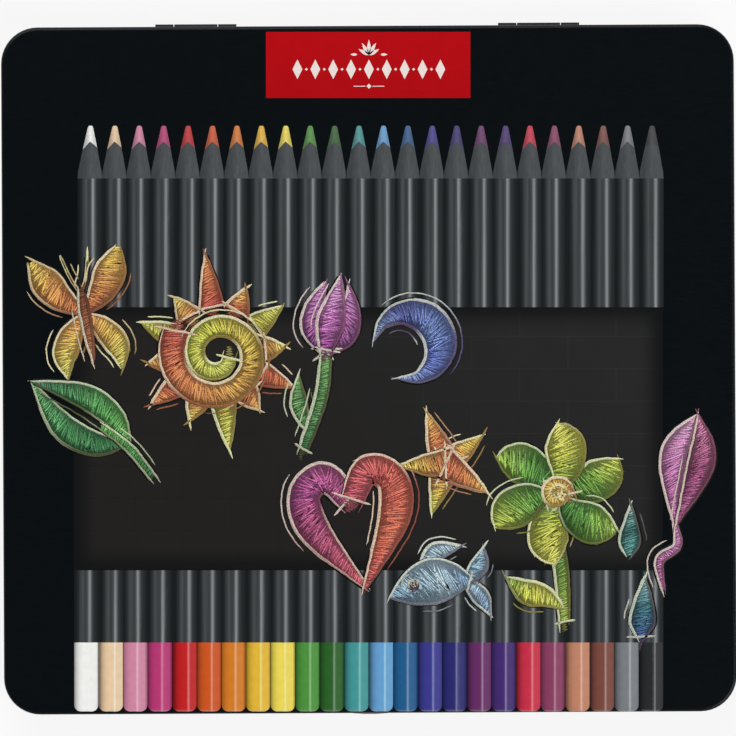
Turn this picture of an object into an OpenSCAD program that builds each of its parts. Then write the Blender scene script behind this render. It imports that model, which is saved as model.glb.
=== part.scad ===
// Flat hinged tin for one row of coloured pencils, with its tray and its pencils.
// The tin lies flat with its lid up: +Z is up, +Y points at the hinges, and the
// origin is in the middle of the underside. All sizes are in millimetres.

/* [Pencils] */
// Number of pencils side by side
pencil_count = 24; // [18:1:24]
// Distance from one pencil's axis to the next
pencil_pitch = 7.9; // [7.7:0.1:8.6]
// Length of a pencil from tip to dipped end
pencil_l = 175; // [150:1:180]
// Radius of the three rounded edges of a barrel
barrel_edge_r = 2.0; // [1.6:0.1:2.0]
// Distance from a barrel's axis to the centre of each rounded edge
barrel_edge_offset = 1.85; // [1.5:0.05:1.85]
// Diameter of the coloured lead
lead_d = 3.3; // [2.8:0.1:3.6]
// Length of the sharpened cone
cone_l = 15.6; // [13:0.2:20]
// Radius of the blunt tip of the lead
tip_r = 0.75; // [0.4:0.05:0.9]
// Length of the colour-dipped end
dip_l = 20.9; // [10:0.5:30]
// Thickness of the dipped lacquer
dip_t = 0.1; // [0.05:0.01:0.12]
// Rounding of the pencil's end
end_round = 1.4; // [0.8:0.1:1.8]

/* [Tin] */
// Height of the closed tin
tin_h = 14; // [13.6:0.2:18]
// Outer corner radius, seen from above
corner_r = 10; // [9.6:0.2:16]
// Thickness of the tinplate
sheet_t = 0.3; // [0.24:0.02:0.36]
// Outer radius of the lid's top edge
lid_edge_r = 1.0; // [0.6:0.1:2]
// Outer radius of the base's bottom edge
base_edge_r = 1.6; // [1:0.1:1.6]
// Height of the folded hem on the lid and on the base
hem_h = 2.4; // [1.6:0.1:3.2]
// Gap between the lid's hem and the base's wall
lid_gap = 0.3; // [0.25:0.05:0.5]
// Gap between the base's rim and the underside of the lid
rim_gap = 0.3; // [0.2:0.05:0.6]
// Width of the flat border that the tin stands on, from the tin's outer face
stand_border = 7; // [5.5:0.5:8]
// Height of the pressed-up floor panel over that border
floor_lift = 0.5; // [0.3:0.1:0.9]

/* [Hinges] */
// Height of the hinge axis, which is the height of the lid's lower edge
hinge_z = 7; // [7:0.1:8]
// Distance of each hinge's middle from the middle of the tin
hinge_x = 47.1; // [30:0.5:50]
// Width of each hinge
hinge_w = 22.3; // [18:0.1:30]
// Width of each of the base's two knuckles
side_knuckle_w = 5; // [3:0.1:6]
// Diameter of the hinge wire
pin_d = 1.0; // [0.8:0.05:1.05]
// Radial running clearance of the wire in the knuckles
pin_clearance = 0.04; // [0.02:0.01:0.06]
// Gap between neighbouring knuckles, and round them
knuckle_gap = 0.25; // [0.2:0.05:0.4]

/* [Lift lip] */
// Width of the flared lip in the middle of the lid's front edge
lip_w = 13; // [8:1:24]
// How far the lip stands out from the lid's face
lip_out = 0.5; // [0.3:0.1:1]
// Height over which the lip fades into the lid's face
lip_h = 2.2; // [1.5:0.1:4]

/* [Tray] */
// Thickness of the tray's plastic sheet
tray_t = 0.5; // [0.3:0.05:0.6]
// Height of the tray's border above the table
tray_top_z = 9; // [8:0.2:10]
// Width of the tray's raised border
tray_border = 3.1; // [2.6:0.1:4]
// Gap between the tray and the base's hem
tray_gap = 1.1; // [1.1:0.1:1.6]
// Height of the groove floors above the table
groove_z = 4; // [3.2:0.1:4.2]
// Height of the ridges between the grooves
ridge_h = 1.2; // [0.8:0.1:1.4]
// Clearance between a groove's sides and a dipped end
groove_clearance = 0.15; // [0.1:0.01:0.18]
// Clearance between a pencil and each end of its groove
end_room = 1.05; // [0.5:0.05:1.5]
// Distance of the finger trough's middle from the middle of the tin
trough_y = -20; // [-40:1:40]
// Width of the finger trough across the grooves
trough_w = 26; // [18:1:36]
// Outer radius of the tray's border edge
tray_edge_r = 1.2; // [0.8:0.1:1.4]

/* [Hidden] */
$fn = 96;
cut = 0.1;              // how far a cutting solid runs past the face it cuts
lap = 0.5;              // how far two stretches of one sheet lie over each other
arc_steps = 3;          // straight steps in each side of a groove
seat = 0.02;            // air left where one piece rests on another
flat_inset = 0.01;      // a barrel's flats lie this far inside the rounded edges' tangent
wood_edge = 0.12;       // thickness of the wood where it meets the bare lead
lead_play = 0.02;       // radial air between lead and barrel
floor_slope = 1;        // width of the slope up to the floor panel
tip_chamfer = 0.3;      // rounding of the blunt tip
turning_margin = 0.06;  // how far the turned outline stands outside a barrel's edges
tray_corner_r = 1.5;    // corner radius of the tray's recess
knuckle_root = 0.06;    // the lid's tab starts this far over the wire's bore

// Layers from the tin's outer face inwards
hem_t = 2 * sheet_t;
base_out = hem_t + lid_gap;            // outer face of the base's wall
tray_out = base_out + hem_t + tray_gap; // outer face of the tray

// Outer size of the tin, worked out from what it holds
recess_w = pencil_count * pencil_pitch;
recess_d = pencil_l + 2 * end_room;
tin_w = recess_w + 2 * (tray_border + tray_out);
tin_d = recess_d + 2 * (tray_border + tray_out);
rim_z = tin_h - sheet_t - rim_gap;
floor_top = floor_lift + sheet_t;

// Hinge
bore_r = pin_d / 2 + pin_clearance;
knuckle_r = bore_r + sheet_t;
lid_knuckle_w = hinge_w - 2 * (side_knuckle_w + knuckle_gap);
hinge_y = tin_d / 2;
hinge_cut_w = hinge_w + 2 * knuckle_gap;
window_top = knuckle_r + 2 * knuckle_gap;

// Pencil
barrel_flat = barrel_edge_offset / 2 + barrel_edge_r;
barrel_reach = barrel_edge_offset + barrel_edge_r;
lead_r = lead_d / 2;
cone_slope = (barrel_reach - tip_r) / cone_l;
wood_start = (lead_r + wood_edge - tip_r) / cone_slope;
pencil_z = groove_z + barrel_flat + dip_t + seat;
tip_y = pencil_l / 2;

// Names, from left to right with the hinges at the back
COLOURS = ["#f2f2ee", "#f0c8a0", "#dc8caa", "#be3c78", "#cd1e23", "#d75a1e",
           "#dc7823", "#ebb932", "#f5dc50", "#50963c", "#2d6428", "#3c9691",
           "#64a0d2", "#1e5582", "#3c328c", "#28286e", "#6e2869", "#41286e",
           "#d22d41", "#8c3c5f", "#d28764", "#78463c", "#7d8287", "#2b2d30"];
numbers = [for (i = [1 : pencil_count]) str(i < 10 ? "0" : "", i)];

// ---- Shared shapes ----

// A rectangle with round corners, around the origin
module round_rect(size, r) {
    square([size.x - 2 * r, size.y], center = true);
    square([size.x, size.y - 2 * r], center = true);
    for (sx = [-1, 1], sy = [-1, 1])
        translate([sx * (size.x / 2 - r), sy * (size.y / 2 - r)]) circle(r);
}

// Sweeps a section round the tin. In the section, x is the distance outwards from
// the tin's outer face and y is the height.
module swept_round() {
    for (turn = [0 : 3]) {
        run = (turn % 2 == 0 ? tin_d : tin_w) - 2 * corner_r;
        reach = (turn % 2 == 0 ? tin_w : tin_d) / 2;
        rotate([0, 0, 90 * turn]) {
            translate([reach, run / 2, 0]) rotate([90, 0, 0])
                linear_extrude(run) children();
            translate([reach - corner_r, run / 2, 0])
                rotate_extrude(angle = 90) translate([corner_r, 0]) children();
        }
    }
}

// A flat plate that fills the inside of a swept section from this depth inwards
module inner_plate(depth, z, t) {
    translate([0, 0, z]) linear_extrude(t)
        round_rect([tin_w - 2 * depth, tin_d - 2 * depth], corner_r - depth);
}

// A quarter of a bent sheet's edge, from its outer radius; it fills the corner
// towards +x and, with up = 1, +y, or with up = -1, -y
module bent_edge(r, t, up) {
    intersection() {
        difference() {
            circle(r);
            circle(r - t);
        }
        translate([0, up > 0 ? 0 : -r]) square(r);
    }
}

// The round fold at the free edge of a hem
module hem_fold(up) {
    intersection() {
        circle(sheet_t);
        translate([-sheet_t, up > 0 ? 0 : -sheet_t]) square([2 * sheet_t, sheet_t]);
    }
}

// ---- Hinges ----

// Puts its children at both hinges, on the axis
module at_hinges() {
    for (side = [-1, 1]) translate([side * hinge_x, hinge_y, hinge_z]) children();
}

module knuckle(w) {
    rotate([0, 90, 0]) difference() {
        cylinder(r = knuckle_r, h = w, center = true);
        cylinder(r = bore_r, h = w + 2 * cut, center = true);
    }
}

module hinge_pin(side) {
    color("dimgray") translate([side * hinge_x, hinge_y, hinge_z])
        rotate([0, 90, 0]) cylinder(d = pin_d, h = hinge_w, center = true);
}

// ---- Lid ----

module lid_section() {
    translate([-lid_edge_r, tin_h - lid_edge_r]) bent_edge(lid_edge_r, sheet_t, 1);
    translate([-corner_r / 2 - lap, tin_h - sheet_t])
        square([corner_r / 2 + lap - lid_edge_r, sheet_t]);
    translate([-sheet_t, hinge_z + sheet_t])
        square([sheet_t, tin_h - lid_edge_r - hinge_z - sheet_t]);
    translate([-hem_t, hinge_z + sheet_t]) square([sheet_t, hem_h - sheet_t]);
    translate([-sheet_t, hinge_z + sheet_t]) hem_fold(-1);
}

// The flared lip is a slice of a shallow cone that leans out of the lid's face
module lift_lip() {
    cone_r = (pow(lip_w / 2, 2) + pow(lip_out, 2)) / (2 * lip_out);
    intersection() {
        translate([0, -tin_d / 2 - lip_out + cone_r, hinge_z]) difference() {
            cylinder(r1 = cone_r, r2 = cone_r - lip_out, h = lip_h);
            translate([0, 0, -cut]) cylinder(
                r1 = cone_r - sheet_t + lip_out * cut / lip_h,
                r2 = cone_r - sheet_t - lip_out * (1 + cut / lip_h), h = lip_h + 2 * cut);
        }
        translate([-lip_w, -tin_d / 2 - 2 * lip_out, hinge_z])
            cube([2 * lip_w, 2 * lip_out + sheet_t / 2, lip_h]);
    }
}

module lid() {
    color("#0e1214") {
        difference() {
            union() {
                swept_round() lid_section();
                inner_plate(corner_r / 2, tin_h - sheet_t, sheet_t);
            }
            at_hinges() {
                translate([-hinge_cut_w / 2, -hem_t - cut, -cut])
                    cube([hinge_cut_w, hem_t + 2 * cut, knuckle_r + knuckle_gap + cut]);
                translate([-hinge_cut_w / 2, -hem_t - cut, -cut])
                    cube([hinge_cut_w, sheet_t + cut, hem_h + 2 * cut]);
            }
        }
        at_hinges() {
            knuckle(lid_knuckle_w);
            translate([-lid_knuckle_w / 2, -sheet_t, bore_r + knuckle_root])
                cube([lid_knuckle_w, sheet_t, sheet_t + 2 * knuckle_gap]);
        }
        lift_lip();
    }
}

// ---- Base ----

module base_section() {
    translate([-base_out - sheet_t, base_edge_r])
        square([sheet_t, rim_z - sheet_t - base_edge_r]);
    translate([-base_out - base_edge_r, base_edge_r]) bent_edge(base_edge_r, sheet_t, -1);
    translate([-stand_border, 0])
        square([stand_border - base_out - base_edge_r, sheet_t]);
    polygon([[-stand_border, 0], [-stand_border, sheet_t],
             [-stand_border - floor_slope, floor_top],
             [-stand_border - floor_slope - lap, floor_top],
             [-stand_border - floor_slope - lap, floor_lift],
             [-stand_border - floor_slope, floor_lift]]);
    translate([-base_out - hem_t, rim_z - hem_h]) square([sheet_t, hem_h - sheet_t]);
    translate([-base_out - sheet_t, rim_z - sheet_t]) hem_fold(1);
}

// A tab sheared out of the wall's window, bent out under the wire and curled over it
module base_knuckle() {
    knuckle(side_knuckle_w);
    translate([-side_knuckle_w / 2, -base_out - sheet_t, -knuckle_r])
        cube([side_knuckle_w, base_out, sheet_t]);
}

module base() {
    color("#101416") {
        difference() {
            union() {
                swept_round() base_section();
                inner_plate(stand_border + floor_slope, floor_lift, sheet_t);
            }
            at_hinges() translate([-hinge_cut_w / 2, -base_out - sheet_t - cut, -bore_r])
                cube([hinge_cut_w, sheet_t + 2 * cut, bore_r + window_top]);
        }
        at_hinges() for (side = [-1, 1])
            translate([side * (hinge_w - side_knuckle_w) / 2, 0, 0]) base_knuckle();
    }
}

// ---- Tray ----

function arc_from() = acos((barrel_edge_r + dip_t) / groove_r());
function arc_to() = acos((barrel_edge_r + dip_t - ridge_h) / groove_r());
function groove_r() = barrel_edge_r + dip_t + groove_clearance;

// One side of a groove follows the barrel's lower rounded edge, from the floor up
function groove_side() = [for (s = [0 : arc_steps])
    let (a = arc_from() + (arc_to() - arc_from()) * s / arc_steps)
    [barrel_edge_offset * cos(30) + groove_r() * sin(a),
     barrel_edge_r + dip_t - groove_r() * cos(a)]];

// All grooves from left to right, as heights over the groove floor
function groove_line() = [for (i = [0 : pencil_count - 1])
    let (x = pencil_x(i), side = groove_side(), last = arc_steps)
    each concat([for (s = [0 : last]) [x - side[last - s].x, side[last - s].y]],
                [for (s = [0 : last]) [x + side[s].x, side[s].y]])];

function reversed(points) = [for (i = [len(points) - 1 : -1 : 0]) points[i]];
function pencil_x(i) = (i - (pencil_count - 1) / 2) * pencil_pitch;

// The grooves' outline down to a level line, or with sheet = true to a sheet's underside
module groove_outline(low, sheet) {
    ends = [[-recess_w / 2 - tray_t / 2, ridge_h], [recess_w / 2 + tray_t / 2, ridge_h]];
    line = concat([ends[0]], groove_line(), [ends[1]]);
    under = sheet ? [for (p = reversed(line)) [p.x, p.y - tray_t]]
                  : [[ends[1].x, low], [ends[0].x, low]];
    polygon(concat(line, under));
}

// A length of the grooves from y to y + run
module along_grooves(y, run) {
    translate([0, y + run, groove_z]) rotate([90, 0, 0]) linear_extrude(run) children();
}

module tray_border_section() {
    outer = -tray_out;
    translate([outer - tray_edge_r, tray_top_z - tray_edge_r])
        bent_edge(tray_edge_r, tray_t, 1);
    translate([outer - tray_edge_r - lap, tray_top_z - tray_t]) square([lap, tray_t]);
    translate([outer - tray_t, sheet_t])
        square([tray_t, tray_top_z - tray_edge_r - sheet_t]);
}

module tray() {
    trough_low = trough_y - trough_w / 2;
    trough_high = trough_y + trough_w / 2;
    trough_z = floor_top - groove_z;
    low_y = -recess_d / 2;
    color("#1b1c1e") {
        swept_round() tray_border_section();
        // flange from the border's edge to the recess, and the walls round the recess
        translate([0, 0, tray_top_z - tray_t]) linear_extrude(tray_t) difference() {
            inset = tray_out + tray_edge_r;
            round_rect([tin_w - 2 * inset, tin_d - 2 * inset], corner_r - inset);
            round_rect([recess_w, recess_d], tray_corner_r);
        }
        translate([0, 0, groove_z - tray_t]) linear_extrude(tray_top_z - groove_z) difference() {
            round_rect([recess_w + 2 * tray_t, recess_d + 2 * tray_t], tray_corner_r + tray_t);
            round_rect([recess_w, recess_d], tray_corner_r);
        }
        // grooves on both sides of the finger trough
        along_grooves(low_y - tray_t / 2, trough_low - low_y + tray_t / 2)
            groove_outline(0, true);
        along_grooves(trough_high, -low_y - trough_high + tray_t / 2)
            groove_outline(0, true);
        // the trough: its two long walls, two short walls and its floor
        along_grooves(trough_low - tray_t, tray_t) groove_outline(trough_z, false);
        along_grooves(trough_high, tray_t) groove_outline(trough_z, false);
        for (side = [-1, 1])
            translate([side * (recess_w + tray_t) / 2 - tray_t / 2, trough_low - tray_t, floor_top])
                cube([tray_t, trough_w + 2 * tray_t, groove_z - floor_top]);
        translate([-recess_w / 2 - tray_t, trough_low - tray_t, floor_top])
            cube([recess_w + 2 * tray_t, trough_w + 2 * tray_t, tray_t]);
    }
}

// ---- Pencils ----
// A pencil is modelled with its tip at z = 0 and its dipped end at z = pencil_l.

// The soft triangle of a barrel, one rounded edge up, grown outwards by grow
module barrel_section(grow) {
    r = barrel_edge_r + grow;
    side = r - flat_inset;
    for (a = [90, 210, 330]) rotate(a) translate([barrel_edge_offset, 0]) circle(r);
    polygon([for (a = [90, 210, 330], turn = [-60, 60])
        [barrel_edge_offset * cos(a) + side * cos(a + turn),
         barrel_edge_offset * sin(a) + side * sin(a + turn)]]);
}

// The sharpened cone and the rounded end, as a section to revolve. It is a little
// wider than the barrel, so that the rounding cuts the barrel's edges at an angle.
module turned_section(grow) {
    reach = barrel_reach + grow + turning_margin;
    last = pencil_l - dip_t + grow;
    cone_end = cone_l + (grow + turning_margin) / cone_slope;
    polygon([[0, wood_start], [lead_r + wood_edge, wood_start], [reach, cone_end],
             [reach, last - end_round], [0, last - end_round]]);
    translate([0, last - end_round]) square([reach - end_round, end_round]);
    translate([reach - end_round, last - end_round]) intersection() {
        circle(end_round);
        square(end_round);
    }
}

// A barrel from this distance behind its tip to its end, grown outwards by grow
module turned_barrel(start, grow) {
    intersection() {
        translate([0, 0, start]) linear_extrude(pencil_l - start) barrel_section(grow);
        rotate_extrude() turned_section(grow);
    }
}

module place_pencil(i) {
    translate([pencil_x(i), tip_y, pencil_z]) rotate([90, 0, 0]) children();
}

module pencil_barrel(i) {
    color("#26292b") place_pencil(i) difference() {
        turned_barrel(0, 0);
        cylinder(r = lead_r + lead_play, h = pencil_l);
    }
}

module pencil_lead(i) {
    color(COLOURS[i]) place_pencil(i) rotate_extrude()
        polygon([[0, 0], [tip_r - tip_chamfer, 0], [tip_r, tip_chamfer],
                 [lead_r, (lead_r - tip_r) / cone_slope],
                 [lead_r, pencil_l - dip_t], [0, pencil_l - dip_t]]);
}

// The coloured lacquer over one pencil's end
module dipped_end() {
    difference() {
        turned_barrel(pencil_l - dip_l, dip_t);
        turned_barrel(pencil_l - dip_l - cut, 0);
    }
}

module dipped_ends() {
    for (i = [0 : pencil_count - 1]) color(COLOURS[i]) place_pencil(i) dipped_end();
}

// ---- The pieces ----

lid();
base();
hinge_pin(-1);  // hinge_pin_left
hinge_pin(1);  // hinge_pin_right
tray();
dipped_ends();
for (i = [0 : pencil_count - 1])
    pencil_barrel(i);
for (i = [0 : pencil_count - 1])
    pencil_lead(i);
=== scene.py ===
"""Looks of the coloured pencil tin: the print on its lid, its finishes and the studio."""

import math
import random

import bmesh
import bpy
from mathutils import Matrix, Vector


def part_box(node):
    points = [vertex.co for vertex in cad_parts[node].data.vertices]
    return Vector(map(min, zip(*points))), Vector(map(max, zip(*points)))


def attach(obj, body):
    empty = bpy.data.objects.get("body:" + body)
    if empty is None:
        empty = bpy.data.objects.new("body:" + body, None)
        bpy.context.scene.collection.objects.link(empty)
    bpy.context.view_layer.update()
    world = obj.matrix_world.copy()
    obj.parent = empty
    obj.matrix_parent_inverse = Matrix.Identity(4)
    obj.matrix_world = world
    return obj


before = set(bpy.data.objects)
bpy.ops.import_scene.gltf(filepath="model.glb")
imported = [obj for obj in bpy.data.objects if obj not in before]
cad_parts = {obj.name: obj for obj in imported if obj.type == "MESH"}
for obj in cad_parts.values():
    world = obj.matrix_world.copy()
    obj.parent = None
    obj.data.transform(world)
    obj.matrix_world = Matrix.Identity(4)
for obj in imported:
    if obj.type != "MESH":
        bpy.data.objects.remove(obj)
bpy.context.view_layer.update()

MM = 0.001

# ---- Sizes of the tin, in millimetres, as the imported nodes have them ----

TIN_H = 14.0
LID_HALF_D = 94.25  # without the hinges and the lift lip
LID_EDGE_R = 1.0
CORNER_R = 10.0
SHEET_T = 0.3
HEM_TOP_Z = 9.41
BASE_OUT = 0.9
BASE_EDGE_R = 1.6
BASE_HEM_Z = 10.99
STAND_BORDER = 7.0
FLOOR_SLOPE = 1.0
FLOOR_LIFT = 0.5
PENCIL_COUNT = 24
PENCIL_PITCH = 7.9
PENCIL_Z = 7.045
TIP_Y = 87.5
TIP_R = 0.75
CONE_SLOPE = 0.19872
CONE_SKIN = 0.05  # how far under the cone's surface its bare wood begins

# ---- The print on the lid, in millimetres from the lid's middle ----

PRINT_TURN = math.radians(-0.28)  # the print sits a touch askew on the lid
PANEL_H = 0.02
PENCILS_H = 0.03
LABEL_H = 0.03
ORNAMENT_H = 0.045
SUNK = 0.02  # how far every printed shape reaches into the lid

PANEL_X = (-81.0, 80.6)
PANEL_Y = (-55.09, 17.06)
PANEL_FADE = 6.8
BRICK_W = 26.4
COURSE_H = 8.87
JOINT_W = 0.13
BRICK_START = (-11.44, 0.16)

UPPER_X = -79.9
UPPER_PITCH = 6.696
UPPER_Y = (17.06, 52.35)
LOWER_X = -80.87
LOWER_PITCH = 6.735
LOWER_Y = (-74.89, -55.09)
DIP_Y = (-93.8, -74.89)
DIP_ROUND = 1.8
DIP_GAP = 0.07
DIP_RIM = 0.7
LIT_SHIFT = 0.045  # how far the light on a printed pencil may shift, as a share of its width
CONE_TOP_Y = 66.8
CONE_SHOULDER_Y = 54.2
CONE_SHOULDER_IN = 0.13
CONE_LEAN = 0.2
TIP_HALF = 0.74
TIP_ROUND = 0.5
TIP_FLAT = 0.6  # how much of a printed tip's width is flat on top
LEAD_LEFT_Y = 60.3
LEAD_RIGHT_Y = 60.85
LEAD_PEAK_Y = 62.5

LABEL_X = (-28.24, 27.83)
LABEL_Y = (74.42, 92.58)
LOZENGE_COUNT = 9
LOZENGE_PITCH = 4.9
LOZENGE_Y = 82.3
PALMETTE_Y = 86.2
BLADE_STEPS = 8
RULE_Y = 77.65
RULE_HALF_H = 0.1
EDGE_CUTS = (93.25, 93.5, 93.7, 93.85, 93.97, 94.07, 94.15, 94.21)

# ---- Camera: straight down from far off, as the picture was taken ----

IMAGE_PX = 736
PX = 0.27422  # millimetres of lid to one pixel
AIM = (-0.247, 0.384)
CAMERA_RISE = 3.0
SENSOR = 36.0


# ---- Colours ----


def light(level):
    """One channel of a screen colour, 0 to 255, as linear light."""
    share = level / 255
    return share / 12.92 if share <= 0.04045 else ((share + 0.055) / 1.055) ** 2.4


def ink(red, green, blue):
    return (light(red), light(green), light(blue), 1.0)


def grey(level):
    """A grey from its linear light."""
    return (level, level, level, 1.0)


def cool_greys(tones):
    """Ramp stops of slightly blue greys, from (place, screen level) pairs."""
    return [(place, ink(max(tone - 3, 0), tone + 1, tone + 3)) for place, tone in tones]


PENCIL_INKS = [
    (252, 252, 249), (243, 211, 172), (218, 140, 168), (190, 60, 120), (200, 35, 38), (212, 90, 35),
    (220, 128, 40), (236, 189, 60), (246, 224, 92), (80, 150, 64), (45, 100, 42), (70, 155, 155),
    (105, 165, 215), (35, 95, 145), (60, 60, 145), (45, 45, 115), (105, 47, 103), (70, 45, 115),
    (205, 50, 75), (140, 65, 100), (198, 135, 108), (125, 75, 65), (125, 130, 135), (42, 44, 47),
]
BARREL_TONES = [
    (0.0, 24), (0.06, 21), (0.14, 31), (0.22, 47), (0.29, 66), (0.36, 77), (0.43, 63), (0.50, 60),
    (0.57, 80), (0.62, 136), (0.66, 138), (0.71, 98), (0.77, 58), (0.85, 42), (0.93, 37), (1.0, 26),
]


# ---- Node trees ----


def socket_of(sockets, name):
    """The socket in use with this name or identifier."""
    for socket in sockets:
        if socket.enabled and name in (socket.identifier, socket.name):
            return socket
    raise KeyError(name)


class Value:
    """What a node gives. Arithmetic with it adds Math nodes."""

    def __init__(self, graph, socket):
        self.graph = graph
        self.socket = socket

    def __add__(self, other):
        return self.graph.math("ADD", self, other)

    def __sub__(self, other):
        return self.graph.math("SUBTRACT", self, other)

    def __rsub__(self, other):
        return self.graph.math("SUBTRACT", other, self)

    def __mul__(self, other):
        return self.graph.math("MULTIPLY", self, other)

    def __truediv__(self, other):
        return self.graph.math("DIVIDE", self, other)

    def __abs__(self):
        return self.graph.math("ABSOLUTE", self)


class Graph:
    """Adds nodes to a node tree and links them."""

    def __init__(self, tree):
        self.tree = tree

    def feed(self, socket, value):
        if isinstance(value, Value):
            self.tree.links.new(value.socket, socket)
        else:
            socket.default_value = value

    def add(self, kind, inputs=None, **settings):
        node = self.tree.nodes.new(kind)
        for name, value in settings.items():
            setattr(node, name, value)
        for name, value in (inputs or {}).items():
            self.feed(socket_of(node.inputs, name), value)
        return node

    def value(self, kind, inputs=None, output=None, **settings):
        """The output of a new node that has this name, or else its first."""
        outputs = self.add(kind, inputs, **settings).outputs
        return Value(self, socket_of(outputs, output) if output else outputs[0])

    def math(self, operation, *values):
        node = self.add("ShaderNodeMath", operation=operation)
        for socket, value in zip(node.inputs, values):
            self.feed(socket, value)
        return Value(self, node.outputs[0])

    def split(self, vector):
        outputs = self.add("ShaderNodeSeparateXYZ", {"Vector": vector}).outputs
        return [Value(self, socket) for socket in outputs]

    def vector(self, **parts):
        return self.value("ShaderNodeCombineXYZ", parts)

    def length(self, x, y):
        inputs = {"Vector": self.vector(X=x, Y=y)}
        return self.value("ShaderNodeVectorMath", inputs, "Value", operation="LENGTH")

    def past_corner(self, x, y):
        """How far (x, y) lies from the origin, with anything below 0 taken as 0."""
        return self.length(self.math("MAXIMUM", x, 0.0), self.math("MAXIMUM", y, 0.0))

    def fade(self, value, start, end, low=0.0, high=1.0, shape="SMOOTHSTEP"):
        """low up to start, high from end on, and a step of this shape between them."""
        inputs = {"Value": value, "From Min": start, "From Max": end, "To Min": low, "To Max": high}
        return self.value("ShaderNodeMapRange", inputs, "Result", interpolation_type=shape)

    def ramp(self, value, stops, interpolation="LINEAR"):
        """The colour at value on a ramp of (place, colour) stops."""
        node = self.add("ShaderNodeValToRGB", {"Fac": value})
        elements = node.color_ramp.elements
        node.color_ramp.interpolation = interpolation
        while len(elements) < len(stops):
            elements.new(0.5)
        for element, (place, colour) in zip(elements, stops):
            element.position = place
            element.color = colour
        return Value(self, node.outputs["Color"])

    def greys(self, value, levels):
        """The grey at value on a ramp of (place, linear light) stops."""
        return self.ramp(value, [(place, grey(level)) for place, level in levels])

    def mix(self, share, first, second, blend_type="MIX", **settings):
        inputs = {"Factor_Float": share, "A_Color": first, "B_Color": second}
        settings = {"data_type": "RGBA", "blend_type": blend_type, **settings}
        return self.value("ShaderNodeMix", inputs, "Result_Color", **settings)

    def times(self, colour, factor, **settings):
        return self.mix(1.0, colour, factor, "MULTIPLY", **settings)

    def noise(self, vector, scale, detail=2.0, roughness=0.5):
        inputs = {"Vector": vector, "Scale": scale, "Detail": detail, "Roughness": roughness}
        return self.value("ShaderNodeTexNoise", inputs)

    def streaks(self, vector, density, *levels):
        """Noise that is drawn out along an axis where density is low, and packed where high."""
        spot = self.value("ShaderNodeMapping", {"Vector": vector, "Scale": density})
        return self.noise(spot, *levels)

    def attribute(self, name, output="Fac"):
        return self.value("ShaderNodeAttribute", None, output, attribute_name=name)


class Finish(Graph):
    """A material: one Principled shader and the nodes that feed it."""

    def __init__(self, name, **levels):
        self.material = bpy.data.materials.new(name)
        self.material.use_nodes = True
        super().__init__(self.material.node_tree)
        self.shader = self.tree.nodes["Principled BSDF"]
        for level, value in levels.items():
            self.set(level.replace("_", " "), value)

    def set(self, socket, value):
        self.feed(self.shader.inputs[socket], value)

    def painted(self, colour):
        """The material, with this colour as its last touch."""
        self.set("Base Color", colour)
        return self.material

    def place(self, turn=0.0):
        """Object coordinates in millimetres, turned back by turn."""
        spot = self.value("ShaderNodeTexCoord", None, "Object")
        inputs = {"Vector": spot, "Rotation": (0.0, 0.0, -turn), "Scale": (1 / MM,) * 3}
        return self.value("ShaderNodeMapping", inputs)

    def bump(self, height, distance, strength):
        """Relief of this height, whose full distance is in millimetres."""
        inputs = {"Height": height, "Distance": distance * MM, "Strength": strength}
        self.set("Normal", self.value("ShaderNodeBump", inputs))


# ---- Finishes of the real parts ----


def depth_inside(finish, x, y):
    """Distance outwards from the lid's outer face, seen from above, in millimetres."""
    _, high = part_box("lid")
    past_x = abs(x) - (high.x / MM - CORNER_R)
    past_y = abs(y) - (LID_HALF_D - CORNER_R)
    flat_part = finish.math("MINIMUM", finish.math("MAXIMUM", past_x, past_y), 0.0)
    return finish.past_corner(past_x, past_y) + flat_part - CORNER_R


def pressed_sheet(name, bare):
    """Tinplate with black lacquer on its outer face; bare masks the inner face."""
    finish = Finish(name, Specular_IOR_Level=0.16)
    place = finish.place()
    inner = bare(finish, *finish.split(place))
    lacquer = finish.mix(finish.noise(place, 1.8, 3.0), ink(1, 7, 11), ink(5, 11, 15))
    brushed = finish.streaks(place, (0.4, 9.0, 0.4), 1.0, 4.0)
    tinplate = finish.mix(brushed, ink(126, 127, 126), ink(176, 177, 175))
    finish.set("Metallic", inner)
    finish.set("Roughness", finish.fade(brushed, 0.3, 0.7, 0.3, 0.38) + inner * 0.13)
    finish.bump(finish.noise(place, 0.9), 0.004, 0.35)
    return finish.painted(finish.mix(inner, lacquer, tinplate))


def bare_in_lid(finish, x, y, z):
    out = depth_inside(finish, x, y) + LID_EDGE_R
    bend = finish.past_corner(out, z - (TIN_H - LID_EDGE_R))
    under = finish.math("LESS_THAN", bend, LID_EDGE_R - SHEET_T / 2)
    return under * finish.math("GREATER_THAN", z, HEM_TOP_Z)


def bare_in_base(finish, x, y, z):
    depth = depth_inside(finish, x, y)
    bend = finish.past_corner(depth + (BASE_OUT + BASE_EDGE_R), BASE_EDGE_R - z)
    inside = finish.math("LESS_THAN", bend, BASE_EDGE_R - SHEET_T / 2)
    slope_end = -STAND_BORDER - FLOOR_SLOPE
    raised = finish.fade(depth, -STAND_BORDER, slope_end, 0.0, FLOOR_LIFT, "LINEAR")
    over_floor = finish.math("GREATER_THAN", z - raised, SHEET_T / 2)
    return inside * over_floor * finish.math("LESS_THAN", z, BASE_HEM_Z)


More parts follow.
